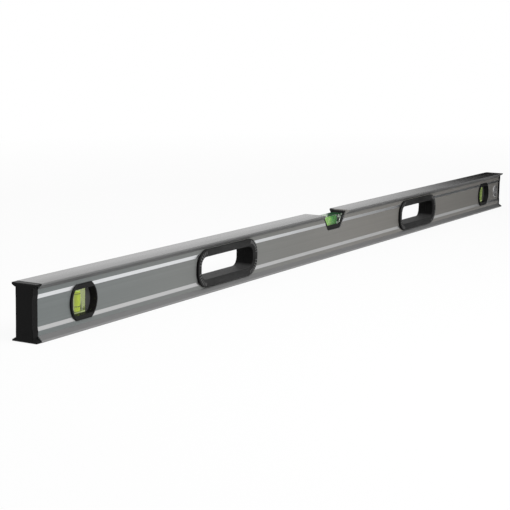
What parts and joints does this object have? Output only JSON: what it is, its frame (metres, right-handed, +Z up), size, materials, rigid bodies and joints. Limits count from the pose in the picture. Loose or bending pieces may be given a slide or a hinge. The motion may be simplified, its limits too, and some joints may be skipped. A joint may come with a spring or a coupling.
{
  "type": "box beam level",
  "caption": "Long hollow-beam spirit level with flanged working faces, hand holes, plumb vials near both ends, a level vial in the top edge and a hang hole.",
  "frame": {"origin": "centre of the lower working face, which is the middle of the bounding box's floor", "axes": "+X along the beam towards the end with the hang hole, +Y through the beam from the front face to the back, +Z up to the upper working face"},
  "size_m": [1.2, 0.028, 0.054],
  "materials": {
    "beam_aluminium": "satin grey anodised extrusion with brighter bevels",
    "cap_plastic": "black moulded, slightly glossy",
    "grip_rubber": "dark grey moulded, fine grain",
    "bezel_plastic": "black moulded",
    "vial_acrylic": "clear, polished faces and frosted ends",
    "plumb_liquid": "yellow-green dyed spirit",
    "level_liquid": "green dyed spirit",
    "ring_black": "black marking ring",
    "vial_plug": "dark green plug",
    "eyelet_metal": "bright turned eyelet"
  },
  "bodies": {
    "root": {"beam": "beam_aluminium", "end_cap_left": "cap_plastic", "end_cap_right": "cap_plastic", "grip_left_front": "grip_rubber", "grip_left_back": "grip_rubber", "grip_right_front": "grip_rubber", "grip_right_back": "grip_rubber", "vial_left_front_bezel": "bezel_plastic", "vial_left_back_bezel": "bezel_plastic", "vial_left_block": "vial_acrylic", "vial_left_liquid": "plumb_liquid", "vial_left_rings": "ring_black", "vial_left_plug": "vial_plug", "vial_right_front_bezel": "bezel_plastic", "vial_right_back_bezel": "bezel_plastic", "vial_right_block": "vial_acrylic", "vial_right_liquid": "plumb_liquid", "vial_right_rings": "ring_black", "vial_right_plug": "vial_plug", "centre_housing": "bezel_plastic", "centre_vial_block": "vial_acrylic", "centre_vial_liquid": "level_liquid", "centre_vial_rings": "ring_black", "centre_vial_plug": "vial_plug", "hang_bush": "eyelet_metal", "hang_ring": "eyelet_metal"}
  },
  "joints": []
}
